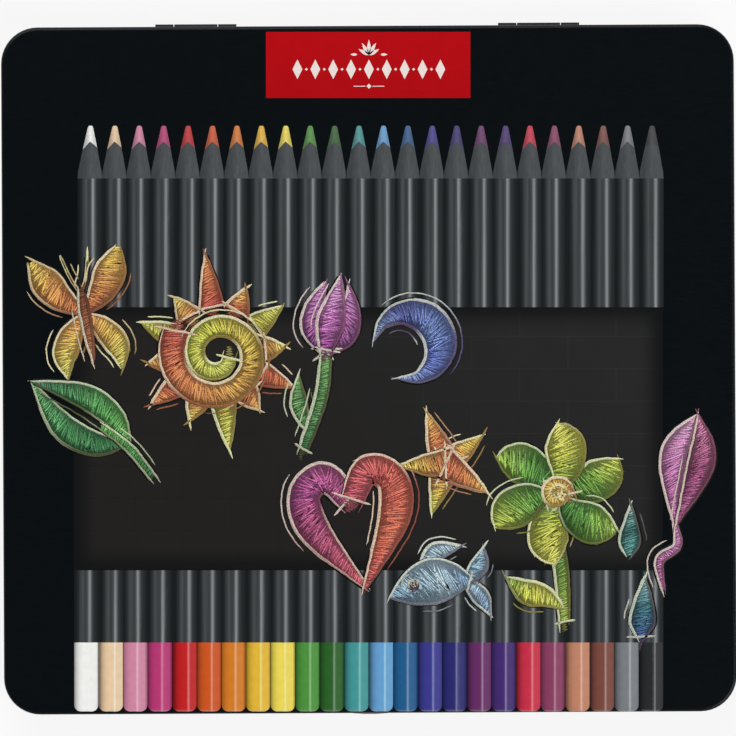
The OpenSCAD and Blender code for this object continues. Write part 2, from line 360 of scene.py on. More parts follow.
def pencil_colours():
    """A node group: the colour of a pencil from its number, counted from 0 at the left."""
    tree = bpy.data.node_groups.new("pencil colours", "ShaderNodeTree")
    tree.interface.new_socket("Number", in_out="INPUT", socket_type="NodeSocketFloat")
    tree.interface.new_socket("Colour", in_out="OUTPUT", socket_type="NodeSocketColor")
    graph = Graph(tree)
    middle = (graph.value("NodeGroupInput") + 0.5) / PENCIL_COUNT
    stops = [(i / PENCIL_COUNT, ink(*c)) for i, c in enumerate(PENCIL_INKS)]
    graph.add("NodeGroupOutput", {"Colour": graph.ramp(middle, stops, "CONSTANT")})
    return tree


COLOURS = pencil_colours()


def colour_of(finish, number):
    return finish.value("ShaderNodeGroup", {"Number": number}, "Colour", node_tree=COLOURS)


def pitches(x):
    """How many pencil pitches x lies from the left side of the row in the tin."""
    return x / PENCIL_PITCH + PENCIL_COUNT / 2


def own_colour(finish, place):
    """The colour of the real pencil at this place."""
    return colour_of(finish, finish.math("FLOOR", pitches(finish.split(place)[0])))


def barrel_finish():
    """Black lacquer on the barrel, and bare black-dyed wood on the sharpened cone."""
    finish = Finish("black dyed pencil", Specular_IOR_Level=0.4)
    place = finish.place()
    x, y, z = finish.split(place)
    off_x = (finish.math("FRACT", pitches(x)) - 0.5) * PENCIL_PITCH
    cone = (TIP_Y - y) * CONE_SLOPE + (TIP_R - CONE_SKIN)
    wood = finish.math("GREATER_THAN", finish.length(off_x, z - PENCIL_Z), cone)
    grain = finish.streaks(place, (3.2, 0.22, 3.2), 1.3, 5.0, 0.6)
    dyed = finish.mix(finish.fade(grain, 0.3, 0.7), ink(58, 58, 60), ink(92, 92, 94))
    lacquer = finish.mix(finish.noise(place, 0.9), ink(38, 41, 43), ink(50, 53, 56))
    finish.set("Roughness", wood * 0.42 + 0.3)
    finish.bump(grain * (wood + 0.06), 0.05, 0.6)
    return finish.painted(finish.mix(wood, lacquer, dyed))


def lead_finish():
    """Waxy coloured lead, with faint turning marks from the sharpener."""
    finish = Finish("coloured lead", Roughness=0.55, Specular_IOR_Level=0.35)
    place = finish.place()
    marks = finish.streaks(place, (0.3, 5.0, 0.3), 1.0, 3.0)
    paler = finish.fade(marks, 0.3, 0.75, 0.04, 0.2)
    finish.bump(marks, 0.02, 0.5)
    return finish.painted(finish.mix(paler, own_colour(finish, place), ink(255, 250, 244)))


def dip_finish():
    """Thick glossy colour on the pencils' ends."""
    finish = Finish("dipped lacquer", Roughness=0.16, Coat_Weight=0.5, Coat_Roughness=0.08)
    place = finish.place()
    flow = finish.noise(place, 0.35)
    deeper = finish.fade(flow, 0.3, 0.8, 0.0, 0.1)
    finish.bump(flow, 0.015, 0.4)
    return finish.painted(finish.mix(deeper, own_colour(finish, place), ink(20, 20, 22)))


def tray_finish():
    """Black formed plastic sheet with a fine satin grain."""
    finish = Finish("formed black plastic", Specular_IOR_Level=0.4)
    place = finish.place()
    grain = finish.noise(place, 3.5, 3.0, 0.6)
    finish.set("Roughness", finish.fade(grain, 0.3, 0.7, 0.34, 0.5))
    finish.bump(grain, 0.012, 0.5)
    return finish.painted(finish.mix(finish.noise(place, 0.06), ink(24, 25, 27), ink(34, 35, 38)))


def wire_finish():
    """Bright drawn steel wire."""
    finish = Finish("drawn steel wire", Metallic=1.0)
    lines = finish.streaks(finish.place(), (0.3, 14.0, 14.0), 1.0, 3.0)
    finish.set("Roughness", finish.fade(lines, 0.3, 0.7, 0.22, 0.4))
    return finish.painted(finish.mix(lines, ink(150, 150, 150), ink(190, 191, 192)))


# ---- Printed inks ----


def print_finish(name, roughness=0.4):
    return Finish(name, Roughness=roughness, Specular_IOR_Level=0.18)


def panel_ink():
    """Near-black brick wall, fading to black along every side."""
    finish = print_finish("printed brick wall", 0.45)
    place = finish.place(PRINT_TURN)
    x, y, _ = finish.split(place)
    laying = {
        "Vector": finish.vector(X=x - BRICK_START[0], Y=y - BRICK_START[1]),
        "Scale": 1.0,
        "Mortar Size": JOINT_W,
        "Mortar Smooth": 0.4,
        "Brick Width": BRICK_W,
        "Row Height": COURSE_H,
    }
    joints = finish.value("ShaderNodeTexBrick", laying, "Fac", offset=0.5)
    mottle = finish.noise(place, 0.12, 3.0)
    right = finish.fade(x + y, -90.0, 90.0)
    low_tone = finish.mix(mottle, ink(26, 24, 23), ink(31, 29, 28))
    high_tone = finish.mix(mottle, ink(32, 32, 32), ink(37, 37, 37))
    wall = finish.mix(right, low_tone, high_tone)
    laid = finish.mix(joints, wall, finish.mix(right, ink(22, 21, 21), ink(45, 45, 45)))
    from_side = finish.math("MINIMUM", x - PANEL_X[0], PANEL_X[1] - x)
    from_end = finish.math("MINIMUM", y - PANEL_Y[0], PANEL_Y[1] - y)
    by_side = finish.fade(from_side, 0.0, PANEL_FADE, 0.08)
    by_end = finish.fade(from_end, -0.5, PANEL_FADE, 0.1)
    return finish.painted(finish.mix(1.0 - by_side * by_end, laid, ink(3, 5, 7)))


def lit_across(finish):
    """The place across a printed pencil, shifted a little on each, as they lie turned."""
    number = finish.attribute("pencil")
    chance = finish.value("ShaderNodeTexWhiteNoise", {"W": number}, "Value", noise_dimensions="1D")
    return finish.attribute("across") + finish.fade(chance, 0.0, 1.0, -LIT_SHIFT, LIT_SHIFT)


def barrel_ink():
    """Grey light and shade across a printed barrel, with its bright edge."""
    finish = print_finish("printed barrel")
    tone = finish.ramp(lit_across(finish), cool_greys(BARREL_TONES))
    grain = finish.streaks(finish.place(PRINT_TURN), (2.0, 0.03, 1.0), 1.0, 3.0)
    return finish.painted(finish.times(tone, finish.fade(grain, 0.2, 0.8, 0.82, 1.18)))


def wood_ink():
    """Dark grey cut wood on a printed cone, lighter right of its middle."""
    finish = print_finish("printed wood", 0.5)
    tones = cool_greys([(0.0, 58), (0.3, 68), (0.55, 82), (1.0, 76)])
    tone = finish.ramp(finish.attribute("across"), tones)
    grain = finish.streaks(finish.place(PRINT_TURN), (1.2, 0.25, 1.0), 1.6, 4.0)
    return finish.painted(finish.times(tone, finish.fade(grain, 0.2, 0.8, 0.84, 1.14)))


def lead_ink():
    """A printed lead: the pencil's colour, a little greyed, with a lighter stretch down it."""
    finish = print_finish("printed lead")
    greyed = finish.mix(0.2, colour_of(finish, finish.attribute("pencil")), ink(156, 146, 150))
    levels = [(0.22, 0.58), (0.38, 0.84), (0.52, 1.12), (0.62, 1.04), (0.8, 0.78)]
    lit = finish.greys(finish.attribute("across"), levels)
    shaded = finish.times(greyed, lit, clamp_result=True)
    chalk = finish.fade(finish.noise(finish.place(), 2.4, 3.0), 0.25, 0.75, 0.9, 1.08)
    return finish.painted(finish.times(shaded, chalk))


def dip_ink():
    """A printed dipped end: dark left side, full colour, and a sharp bright line."""
    finish = print_finish("printed dipped end", 0.3)
    across = lit_across(finish)
    colour = colour_of(finish, finish.attribute("pencil"))
    shades = [(0.0, 0.24), (0.05, 0.4), (0.12, 0.66), (0.25, 0.9), (0.4, 1.0), (0.93, 0.96), (1.0, 0.5)]
    body = finish.times(colour, finish.greys(across, shades))
    gleams = [(0.5, 0.0), (0.57, 0.05), (0.6, 0.5), (0.635, 0.5), (0.68, 0.08), (0.9, 0.06), (1.0, 0.02)]
    gleam = finish.greys(across, gleams)
    pale = finish.mix(1.0, finish.times(colour, grey(1.4)), grey(0.34), "ADD", clamp_result=True)
    lit = finish.mix(gleam, body, pale)
    y = finish.split(finish.place(PRINT_TURN))[1]
    rim = finish.fade(y, DIP_Y[0], DIP_Y[0] + DIP_RIM, 0.22, 0.0)
    rimmed = finish.mix(rim, lit, ink(200, 196, 192))
    flow = finish.fade(finish.noise(finish.place(), 0.5), 0.25, 0.75, 0.96, 1.03)
    return finish.painted(finish.times(rimmed, flow))


def label_ink():
    finish = print_finish("printed red label", 0.35)
    place = finish.place(PRINT_TURN)
    red = finish.mix(finish.noise(place, 0.2, 3.0), ink(178, 2, 12), ink(186, 5, 16))
    higher = finish.fade(finish.split(place)[1], *LABEL_Y, 0.94, 1.03)
    return finish.painted(finish.times(red, higher))


def ornament_ink():
    finish = print_finish("printed cream ornament")
    chalk = finish.noise(finish.place(), 1.5, 3.0)
    return finish.painted(finish.mix(chalk, ink(232, 214, 208), ink(250, 240, 236)))


# ---- Meshes of the print ----


def mesh_from(name, shape):
    """A new mesh with the shape's faces, all facing outwards; the shape is then let go."""
    bmesh.ops.recalc_face_normals(shape, faces=shape.faces)
    mesh = bpy.data.meshes.new(name)
    shape.to_mesh(mesh)
    shape.free()
    return mesh


def raised_outline(outline, height):
    """A thin closed plate on the lid with this outline, in print millimetres."""
    shape = bmesh.new()
    across = shape.verts.layers.float.new("across")
    left = min(x for x, _ in outline)
    width = max(x for x, _ in outline) - left
    rings = []
    for z in (TIN_H - SUNK, TIN_H + height):
        ring = []
        for x, y in outline:
            vert = shape.verts.new((x * MM, y * MM, z * MM))
            vert[across] = (x - left) / width
            ring.append(vert)
        rings.append(ring)
    low, high = rings
    shape.faces.new(high)
    shape.faces.new(low[::-1])
    for i in range(len(outline)):
        j = (i + 1) % len(outline)
        shape.faces.new((low[i], low[j], high[j], high[i]))
    return mesh_from("outline", shape)


def new_piece(name, mesh):
    piece = bpy.data.objects.new(name, mesh)
    bpy.context.scene.collection.objects.link(piece)
    return piece


def grown(mesh, tree, values):
    """The plain mesh that a Geometry Nodes tree makes of a mesh, in one ink."""
    piece = new_piece(mesh.name, mesh)
    modifier = piece.modifiers.new(tree.name, "NODES")
    modifier.node_group = tree
    for item in tree.interface.items_tree:
        if item.name in values:
            modifier[item.identifier] = values[item.name]
    depsgraph = bpy.context.evaluated_depsgraph_get()
    depsgraph.update()
    made = bpy.data.meshes.new_from_object(piece.evaluated_get(depsgraph), depsgraph=depsgraph)
    bpy.data.objects.remove(piece)
    made.materials.clear()
    made.materials.append(values["Ink"])
    made.polygons.foreach_set("material_index", [0] * len(made.polygons))
    return made


def geometry_tree(name, **inputs):
    """A new tree with these inputs, name=socket type, between its geometry and its ink."""
    tree = bpy.data.node_groups.new(name, "GeometryNodeTree")
    tree.interface.new_socket("Geometry", in_out="OUTPUT", socket_type="NodeSocketGeometry")
    for socket, kind in {"Geometry": "Geometry", **inputs, "Ink": "Material"}.items():
        tree.interface.new_socket(socket, in_out="INPUT", socket_type="NodeSocket" + kind)
    graph = Graph(tree)
    sockets = graph.add("NodeGroupInput").outputs
    return graph, {socket.name: Value(graph, socket) for socket in sockets}


def close_tree(graph, given, geometry):
    real = graph.value("GeometryNodeRealizeInstances", {"Geometry": geometry})
    inked = graph.value("GeometryNodeSetMaterial", {"Geometry": real, "Material": given["Ink"]})
    graph.add("NodeGroupOutput", {"Geometry": inked})
    return graph.tree


def stored(graph, geometry, name, value, domain):
    inputs = {"Geometry": geometry, "Name": name, "Value": value}
    return graph.value("GeometryNodeStoreNamedAttribute", inputs, data_type="FLOAT", domain=domain)


def row_tree():
    """Repeats one printed shape along a row and numbers the copies."""
    graph, given = geometry_tree("row of printed shapes", Count="Int", Pitch="Float")
    spots = {"Count": given["Count"], "Offset": graph.vector(X=given["Pitch"])}
    line = graph.value("GeometryNodeMeshLine", spots, mode="OFFSET")
    copies = {"Points": line, "Instance": given["Geometry"]}
    row = graph.value("GeometryNodeInstanceOnPoints", copies)
    number = graph.value("GeometryNodeInputIndex")
    return close_tree(graph, given, stored(graph, row, "pencil", number, "INSTANCE"))


def printed_row(tree, outline, height, pitch, finish, count=PENCIL_COUNT):
    shape = raised_outline(outline, height)
    return grown(shape, tree, {"Count": count, "Pitch": pitch * MM, "Ink": finish})


def plate(outline, height, finish):
    mesh = raised_outline(outline, height)
    mesh.materials.append(finish)
    return mesh


def box_outline(left, right, low, high):
    return [(left, low), (right, low), (right, high), (left, high)]


def cone_outlines():
    """The wood and the lead of one printed cone, from left to right over one pitch."""
    middle = UPPER_PITCH / 2
    shoulder = middle - CONE_SHOULDER_IN

    def side(y):
        share = (y - CONE_SHOULDER_Y) / (CONE_TOP_Y - CONE_SHOULDER_Y)
        return shoulder + (TIP_HALF - shoulder) * share, CONE_LEAN * share

    left_half, left_lean = side(LEAD_LEFT_Y)
    right_half, right_lean = side(LEAD_RIGHT_Y)
    left = (middle + left_lean - left_half, LEAD_LEFT_Y)
    right = (middle + right_lean + right_half, LEAD_RIGHT_Y)
    peak = (middle + CONE_LEAN / 2, LEAD_PEAK_Y)
    foot = [(0.0, UPPER_Y[1]), (UPPER_PITCH, UPPER_Y[1]), (middle + shoulder, CONE_SHOULDER_Y)]
    wood = [*foot, right, peak, left, (middle - shoulder, CONE_SHOULDER_Y)]
    tip = middle + CONE_LEAN
    low = CONE_TOP_Y - TIP_ROUND
    flat = TIP_HALF * TIP_FLAT
    right_end = [(tip + TIP_HALF, low), (tip + flat, CONE_TOP_Y)]
    left_end = [(tip - flat, CONE_TOP_Y), (tip - TIP_HALF, low)]
    return wood, [left, peak, right, *right_end, *left_end]


def around(radius, angle, centre=(0.0, 0.0)):
    turn = math.radians(angle)
    return centre[0] + radius * math.cos(turn), centre[1] + radius * math.sin(turn)


def dip_outline():
    """One printed dipped end, with round lower corners."""
    left, right = DIP_GAP, LOWER_PITCH - DIP_GAP
    low, high = DIP_Y
    outline = [(right, high), (left, high)]
    for centre_x, start in ((left + DIP_ROUND, 180), (right - DIP_ROUND, 270)):
        centre = (centre_x, low + DIP_ROUND)
        outline += [around(DIP_ROUND, start + 18 * step, centre) for step in range(6)]
    return outline


def lozenge(half_w, half_h, y=0.0):
    return [(half_w, y), (0.0, y + half_h), (-half_w, y), (0.0, y - half_h)]


def blade(length, half, angle, foot):
    """A pointed leaf of the label's ornament, growing from foot at this angle."""
    shares = [i / BLADE_STEPS for i in range(BLADE_STEPS + 1)]
    side = [(length * share, half * math.sin(math.pi * share**0.8)) for share in shares]
    loop = side + [(x, -y) for x, y in side[-2:0:-1]]
    cos, sin = around(1.0, angle)
    return [(foot[0] + x * cos - y * sin, foot[1] + x * sin + y * cos) for x, y in loop][::-1]


def label_ornament(row):
    """A frieze of lozenges with a small palmette over it and a fine rule under it."""
    cream = ornament_ink()
    first = -LOZENGE_PITCH * (LOZENGE_COUNT - 1) / 2
    parts = []
    for half_w, half_h, start, count in (
        (1.35, 2.7, first, LOZENGE_COUNT),
        (0.42, 0.42, first + LOZENGE_PITCH / 2, LOZENGE_COUNT - 1),
    ):
        outline = lozenge(half_w, half_h)
        frieze = printed_row(row, outline, ORNAMENT_H, LOZENGE_PITCH, cream, count)
        parts.append((frieze, (start, LOZENGE_Y)))
    fan = ((90, 4.3), (60, 3.9), (120, 3.9), (30, 3.3), (150, 3.3))
    outlines = [blade(length, 0.52, angle, (0.0, PALMETTE_Y)) for angle, length in fan]
    for angle, reach in ((0, 3.2), (180, -3.2)):
        outlines.append(blade(1.9, 0.36, angle, (reach, PALMETTE_Y + 0.15)))
    for ends in ((-4.2, -1.0), (1.0, 4.2)):
        outlines.append(box_outline(*ends, RULE_Y - RULE_HALF_H, RULE_Y + RULE_HALF_H))
    outlines.append(lozenge(0.7, 0.7, RULE_Y))
    return parts + [(plate(outline, ORNAMENT_H, cream), (0.0, 0.0)) for outline in outlines]


def joined(name, parts):
    """One piece from (mesh, shift in print millimetres) parts, each keeping its inks."""
    whole = bmesh.new()
    inks = []
    for mesh, shift in parts:
        first = len(whole.faces)
        mesh.transform(Matrix.Translation(Vector((*shift, 0.0)) * MM))
        whole.from_mesh(mesh)
        whole.faces.ensure_lookup_table()
        own = list(mesh.materials)
        inks += [material for material in own if material not in inks]
        for face in whole.faces[first:]:
            face.material_index = inks.index(own[face.material_index])
    mesh = bpy.data.meshes.new(name)
    whole.to_mesh(mesh)
    whole.free()
    for material in inks:
        mesh.materials.append(material)
    return new_piece(name, mesh)


def cut_near_edge(mesh):
    """Cuts the print into strips where the lid's lower edge rounds off."""
    shape = bmesh.new()
    shape.from_mesh(mesh)
    for y in EDGE_CUTS:
        everything = [*shape.verts, *shape.edges, *shape.faces]
        cut = {"plane_co": (0.0, -y * MM, 0.0), "plane_no": (0.0, 1.0, 0.0)}
        bmesh.ops.bisect_plane(shape, geom=everything, **cut)
    shape.to_mesh(mesh)
    shape.free()


def settled(piece):
    """Turns a print onto the lid and lets it follow the lid's rounded edge."""
    piece.data.transform(Matrix.Rotation(PRINT_TURN, 4, "Z"))
    cut_near_edge(piece.data)
    for vert in piece.data.vertices:
        past = abs(vert.co.y) / MM - (LID_HALF_D - LID_EDGE_R)
        if past > 0:
            drop = LID_EDGE_R - math.sqrt(LID_EDGE_R**2 - min(past, LID_EDGE_R) ** 2)
            vert.co.z -= drop * MM
    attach(piece, "lid")
    return piece


def print_ground():
    """The printed wall, pencils and label, as one layer of ink on the lid."""
    row = row_tree()
    barrel, wood, lead, dip = barrel_ink(), wood_ink(), lead_ink(), dip_ink()
    wood_line, lead_line = cone_outlines()
    parts = [
        (plate(box_outline(*PANEL_X, *PANEL_Y), PANEL_H, panel_ink()), (0.0, 0.0)),
        (plate(box_outline(*LABEL_X, *LABEL_Y), LABEL_H, label_ink()), (0.0, 0.0)),
    ]
    upper_body = box_outline(0.0, UPPER_PITCH, *UPPER_Y)
    lower_body = box_outline(0.0, LOWER_PITCH, *LOWER_Y)
    for outline, pitch, finish, start in (
        (upper_body, UPPER_PITCH, barrel, UPPER_X),
        (wood_line, UPPER_PITCH, wood, UPPER_X),
        (lead_line, UPPER_PITCH, lead, UPPER_X),
        (lower_body, LOWER_PITCH, barrel, LOWER_X),
        (dip_outline(), LOWER_PITCH, dip, LOWER_X),
    ):
        parts.append((printed_row(row, outline, PENCILS_H, pitch, finish), (start, 0.0)))
    return settled(joined("lid_print", parts + label_ornament(row)))


# ---- The chalk drawing, in millimetres; paths are (x, y, half width) points ----

ART_H = 0.05  # height of the drawing's first level over the lid
LEVEL_STEP = 0.03  # height from one level of bands to the next
GAP_DROP = 0.008
STROKE_LIFT = 0.010
LINE_LIFT = 0.016
PATH_STEP = 0.6
CHALK_SEED = 11
HATCH_LEAN = 18.0  # degrees that hatching leans from straight across its band
BLUNT_HALF = 1.2  # half width from which a band's end gets a stroke across it
LINE_HALF = 0.3  # half width of the pen for an outline
AGAIN_HALF = 0.17  # and for the same outline drawn again
AGAIN_CHANCE = 0.8
AWAY_HALF = 0.19  # and for the one further out
AWAY_CHANCE = 0.55
ZIGZAG_HALF = 0.12
FEWEST_POINTS = 4  # a line with no more points than this isn't drawn
LIT_FROM = (-0.6, 0.8)  # where the light on the outlines comes from, seen from above
SCATTER = 0.18  # how far a hatching stroke may stray
STROKE_T = 0.004
GROUND_T = 0.002  # this and the next two as shares of the ribbon's half width
SHADOW_T = 0.003
LINE_T = 0.02
SHADOW_DROP = 0.015
SHADOW_GROW = 0.75
GAP_GROW = 0.5
WOBBLE_CELLS = 420.0  # noise cells to a metre, along a sketched outline
TAPER_RATE = 9.0  # how fast a tapered ribbon reaches its full width


def through(t, p, q, r, s):
    """The smooth step from q to r at share t, where p lies before them and s after them."""
    bend = (2 * p - 5 * q + 4 * r - s) * t**2
    return 0.5 * (2 * q + (r - p) * t + bend + (3 * q - p - 3 * r + s) * t**3)


def softened(path):
    """A smooth curve through the path's points, with their widths."""
    ends = [path[0], *path, path[-1]]
    points = []
    for a, b, c, d in zip(ends, ends[1:], ends[2:], ends[3:]):
        steps = max(int(math.dist(b[:2], c[:2]) / PATH_STEP), 2)
        for i in range(steps):
            points.append([through(i / steps, *values) for values in zip(a, b, c, d)])
    return points + [list(path[-1])]


def stepped(path):
    """The path with points every PATH_STEP, straight between its corners."""
    points = []
    for a, b in zip(path, path[1:]):
        steps = max(int(math.dist(a[:2], b[:2]) / PATH_STEP), 1)
        points += [[u + (v - u) * i / steps for u, v in zip(a, b)] for i in range(steps)]
    return points + [list(path[-1])]


class Band:
    """A broad chalk stroke along a path, which goes through its inks one after another."""

    def __init__(self, path, inks, level=0, lean=HATCH_LEAN, curved=True):
        self.path = softened(path) if curved else stepped(path)
        self.inks = inks
        self.level = level
        self.lean = lean

    def height(self):
        return TIN_H + ART_H + LEVEL_STEP * self.level

    def ink_at(self, share):
        """The ink at this share of the path, as linear light."""
        place = share * (len(self.inks) - 1)
        first = min(int(place), len(self.inks) - 2)
        a, b = ink(*self.inks[first]), ink(*self.inks[first + 1])
        return [u + (v - u) * (place - first) for u, v in zip(a, b)]


def wound(radii, angles, widths, points=14, centre=(0.0, 0.0)):
    """A spiral path from one radius, angle and half width to another."""
    path = []
    for i in range(points):
        share = i / (points - 1)
        radius, angle, width = [a + (b - a) * share for a, b in (radii, angles, widths)]
        path.append((*around(radius, angle, centre), width))
    return path


def wedges(reaches, width, inks, start=90.0, root=0.0, level=0):
    """Straight pointed rays round the middle, one for each reach."""
    bands = []
    for i, reach in enumerate(reaches):
        angle = start + 360.0 * i / len(reaches)
        waist = (*around(root + (reach - root) * 0.5, angle), width * 0.62)
        path = [(*around(root, angle), width), waist, (*around(reach, angle), 0.15)]
        bands.append(Band(path, inks[i % len(inks)], level + i % 2, curved=False))
    return bands


def petals(count, reach, width, inks, start, level):
    """Bent petals round the middle, widest at seven tenths of their reach."""
    form = ((0.16, 0, 0.35), (0.42, 4, 0.85), (0.70, 12, 1.0), (0.90, 18, 0.62), (1.0, 21, 0.1))
    bands = []
    for i in range(count):
        angle = start + 360.0 * i / count
        path = [(*around(out * reach, angle + turn), half * width) for out, turn, half in form]
        bands.append(Band(path, inks[i % len(inks)], level + i % 2))
    return bands


def mirrored(path):
    return [(-x, y, half) for x, y, half in path]


def placed(path, angle, scale=1.0, place=(0.0, 0.0)):
    """The path turned and scaled about the motif's middle, which then moves to its place."""
    cos, sin = around(scale, angle)
    return [
        (place[0] + x * cos - y * sin, place[1] + x * sin + y * cos, half * scale) for x, y, half in path
    ]


def sun():
    reaches = (27.5, 19.5, 22.5, 19.0, 22.5, 19.5, 26.0, 19.0, 22.5, 18.5, 22.0, 19.5)
    rays = [
        [(206, 62, 34), (236, 140, 44)],
        [(226, 134, 34), (240, 206, 64)],
        [(186, 176, 34), (232, 232, 84)],
        [(214, 96, 36), (238, 176, 52)],
    ]
    coil = wound((13.2, 3.2), (150.0, 705.0), (3.4, 1.9), 26)
    glow = [(210, 66, 38), (230, 132, 36), (220, 170, 36), (206, 206, 40), (232, 236, 84)]
    return wedges(reaches, 3.4, rays, 97.0, 13.2) + [Band(coil, glow, 2)]


def tulip():
    stem = [(0.0, 4.0, 1.4), (1.0, -8.0, 1.5), (-1.2, -22.5, 1.2)]
    blade_path = [(-0.6, -18.0, 0.4), (-4.4, -11.5, 2.1), (-5.8, -4.0, 0.15)]
    side = [(0.0, 3.4, 1.3), (-4.2, 8.4, 2.9), (-4.6, 14.6, 2.3), (-3.0, 21.0, 0.15)]
    middle = [(0.0, 3.8, 1.7), (0.0, 10.5, 3.4), (0.2, 16.5, 2.3), (0.4, 23.0, 0.15)]
    violet = [(112, 44, 118), (176, 92, 166), (206, 132, 198)]
    return [
        Band(stem, [(110, 168, 84), (56, 118, 66)], 2),
        Band(blade_path, [(52, 112, 62), (120, 176, 92)], 1),
        Band(side, violet, 2, 30.0),
        Band(mirrored(side), violet, 2, -30.0),
        Band(middle, [(150, 50, 140), (204, 112, 190), (226, 156, 214)], 3),
    ]


def leaf():
    left = [(-0.4, -10.0, 0.8), (-4.9, -3.0, 3.0), (-5.2, 7.0, 3.3), (0.6, 20.0, 0.2)]
    right = [(0.1, -10.0, 0.8), (3.6, -3.6, 2.9), (4.6, 6.0, 3.2), (1.0, 20.0, 0.2)]
    stalk = [(-0.2, -2.0, 0.8), (-1.4, -11.0, 1.1), (-5.0, -20.5, 0.9)]
    return [
        Band(left, [(44, 112, 62), (66, 150, 84), (96, 176, 96)], 0),
        Band(right, [(96, 184, 66), (74, 154, 78), (58, 128, 92)], 1),
        Band(stalk, [(90, 180, 66), (48, 112, 60)], 2),
    ]


def moon():
    widths = (0.3, 1.5, 2.9, 4.0, 4.5, 4.5, 3.9, 2.8, 1.5, 0.3)
    arc = [(*around(9.6, angle), width) for angle, width in zip(range(-152, 119, 30), widths)]
    blues = [(132, 158, 214), (82, 104, 190), (104, 134, 206), (74, 84, 160), (136, 164, 206)]
    return [Band(arc, blues, 3)]


def butterfly():
    upper = [(-0.6, 0.5, 0.9), (-5.0, 4.5, 3.0), (-8.0, 9.1, 3.5), (-10.4, 13.9, 0.9)]
    lower = [(-0.6, -0.9, 0.8), (-4.0, -4.5, 2.5), (-6.4, -9.1, 2.7), (-6.6, -14.1, 0.5)]
    body = [(0.0, 5.5, 0.5), (0.0, 1.5, 1.1), (0.0, -5.5, 0.9), (0.0, -11.5, 0.2)]
    feeler = [(-0.4, 5.3, 0.12), (-2.0, 8.9, 0.12), (-3.0, 12.9, 0.12)]
    amber = [(196, 92, 30), (232, 146, 36), (240, 196, 54)]
    gold = [(226, 130, 34), (238, 186, 48), (226, 222, 84)]
    half = ((lower, gold, 0), (upper, amber, 1), (feeler, gold, 0))
    bands = [Band(*row) for row in half]
    bands += [Band(mirrored(path), inks, level) for path, inks, level in half]
    return bands + [Band(body, [(120, 60, 30), (190, 110, 50)], 2)]


def flower():
    greens = [
        [(60, 132, 44), (120, 172, 46), (196, 210, 54)],
        [(126, 168, 40), (206, 212, 50), (228, 224, 74)],
        [(58, 132, 48), (98, 164, 50), (164, 200, 60)],
    ]
    stem = [(0.5, -11.0, 1.7), (2.9, -22.0, 1.8), (4.5, -35.0, 1.4)]
    side_leaf = [(3.7, -31.0, 0.4), (-1.5, -28.4, 2.6), (-6.5, -27.4, 3.0), (-12.1, -24.0, 0.2)]
    eye = wound((3.2, 0.9), (0.0, 540.0), (1.7, 0.9), 16)
    return [
        Band(stem, [(70, 140, 50), (160, 184, 52)], 0),
        Band(side_leaf, [(186, 196, 48), (216, 216, 58), (130, 176, 54)], 1),
        *petals(6, 19.0, 5.3, greens, 12.0, 1),
        Band(eye, [(236, 170, 44), (240, 226, 86)], 3),
    ]


def heart():
    half = [(-0.5, 5.0, 2.4), (-4.7, 10.6, 3.0), (-9.5, 7.6, 3.2), (-8.5, -0.4, 3.2), (0.1, -14.0, 0.4)]
    left = placed(half, 0.0, 1.15)
    return [
        Band(left, [(196, 78, 140), (176, 64, 140), (196, 70, 116), (220, 76, 84)], 3),
        Band(mirrored(left), [(206, 70, 96), (224, 80, 56), (230, 96, 44), (206, 60, 66)], 4),
    ]


def drops():
    upper = [(-1.8, 19.0, 0.2), (-2.0, 13.0, 2.2), (-2.2, 8.3, 3.1), (-2.4, 4.7, 1.2)]
    lower = [(2.4, -2.5, 0.2), (2.0, -9.5, 2.6), (1.6, -15.5, 3.6), (1.2, -19.9, 1.4)]
    return [
        Band(upper, [(128, 176, 176), (56, 122, 116), (84, 154, 148)]),
        Band(lower, [(140, 184, 186), (52, 118, 130), (56, 90, 148)]),
    ]


def star():
    rays = [
        [(200, 70, 36), (232, 128, 36), (238, 180, 46)],
        [(226, 128, 32), (236, 204, 50)],
        [(214, 98, 34), (226, 170, 40), (214, 222, 66)],
    ]
    return wedges((17.0, 14.4, 15.6, 15.6, 14.4), 4.7, rays, 96.0, level=1)


def fish():
    pale = [(122, 160, 190), (156, 194, 216), (176, 206, 224), (110, 152, 190)]
    body = [(-9.5, -3.8, 0.3), (-5.9, -2.4, 3.1), (-1.1, -0.8, 4.6), (3.5, -0.6, 3.4), (6.9, -1.0, 1.0)]
    eye = wound((0.5, 0.5), (0.0, 320.0), (0.35, 0.35), 9, (-5.1, -1.4))
    shapes = (
        ([(6.3, -0.8, 0.9), (8.9, 2.2, 1.7), (9.9, 5.6, 0.2)], pale[:2], 3),
        ([(6.3, -1.2, 0.9), (9.1, -4.4, 1.7), (10.9, -8.0, 0.2)], pale[2:], 3),
        ([(-3.1, 2.0, 0.4), (0.1, 5.2, 1.8), (4.9, 6.2, 0.2)], pale[1:3], 3),
        (body, pale, 4),
        (eye, [(40, 60, 84)] * 2, 5),
    )
    return [Band(placed(path, 6.0, 1.22), inks, level, 28.0) for path, inks, level in shapes]


def kite():
    tail = [(0.9, -6.0, 0.5), (2.9, -11.5, 1.0), (-0.7, -16.5, 1.1), (2.1, -23.5, 0.4)]
    left = [(-0.5, 23.0, 0.2), (-3.7, 11.4, 3.5), (0.7, -6.0, 0.2)]
    right = [(0.1, 23.0, 0.2), (3.7, 11.8, 3.5), (1.3, -6.0, 0.2)]
    return [
        Band(tail, [(206, 128, 184), (164, 80, 140)], 0),
        Band(left, [(224, 160, 204), (206, 118, 180), (176, 84, 150)], 1, 30.0),
        Band(right, [(206, 116, 160), (160, 66, 118), (176, 80, 142)], 2, 30.0),
    ]


